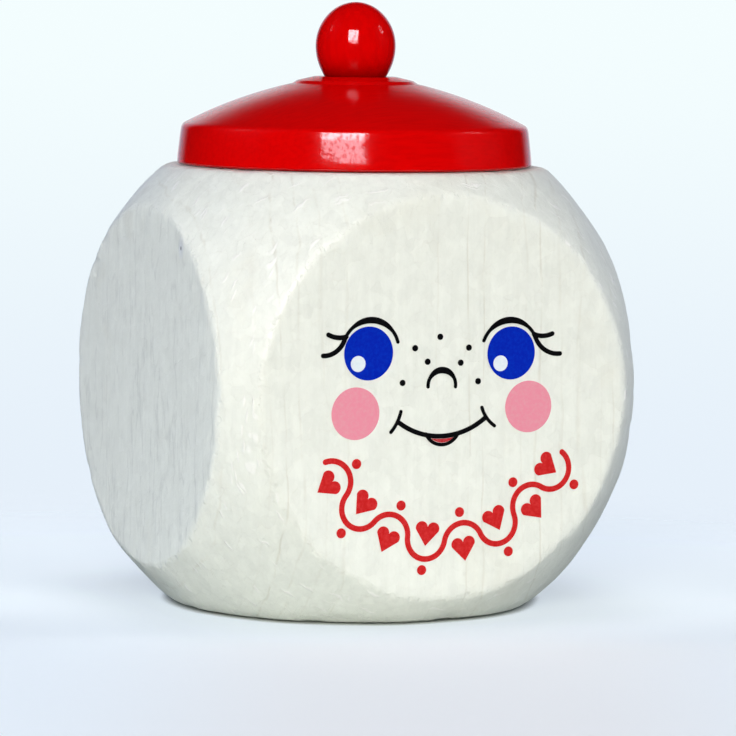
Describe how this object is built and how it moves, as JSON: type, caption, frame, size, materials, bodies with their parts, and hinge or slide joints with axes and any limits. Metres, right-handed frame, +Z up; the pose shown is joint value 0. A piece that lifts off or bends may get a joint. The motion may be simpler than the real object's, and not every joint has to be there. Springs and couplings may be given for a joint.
{
  "type": "tooth box",
  "caption": "Small wooden keepsake box for milk teeth: rounded-cube body with a drilled chamber, lift-off domed lacquered lid with a ball knob, and a printed smiling face.",
  "frame": {"origin": "middle of the box's flat underside", "axes": "+Z up through the lid's knob, -Y out of the printed face, +X to the right of someone facing it"},
  "size_m": [0.045, 0.0421, 0.0598],
  "materials": {
    "block_wood": "pale close-grained wood under a thin white satin glaze",
    "lid_lacquer": "turned wood under high-gloss red lacquer",
    "plug_wood": "bare turned wood, fine sanded",
    "ink_blue": "screen-printed ink",
    "ink_white": "screen-printed ink",
    "ink_pink": "screen-printed ink",
    "ink_black": "screen-printed ink",
    "ink_red": "screen-printed ink"
  },
  "bodies": {
    "box": {"box_body": "block_wood", "print_irises": "ink_blue", "print_highlights": "ink_white", "print_cheeks": "ink_pink", "print_black_lines": "ink_black", "print_lip": "ink_red", "print_garland": "ink_red"},
    "lid": {"lid_cap": "lid_lacquer", "lid_plug": "plug_wood", "lid_knob": "lid_lacquer"}
  },
  "joints": [
    {"name": "lid_lift", "type": "slide", "parent": "box", "child": "lid", "axis": [0, 0, 1], "range_m": [0, 0.025]}
  ]
}
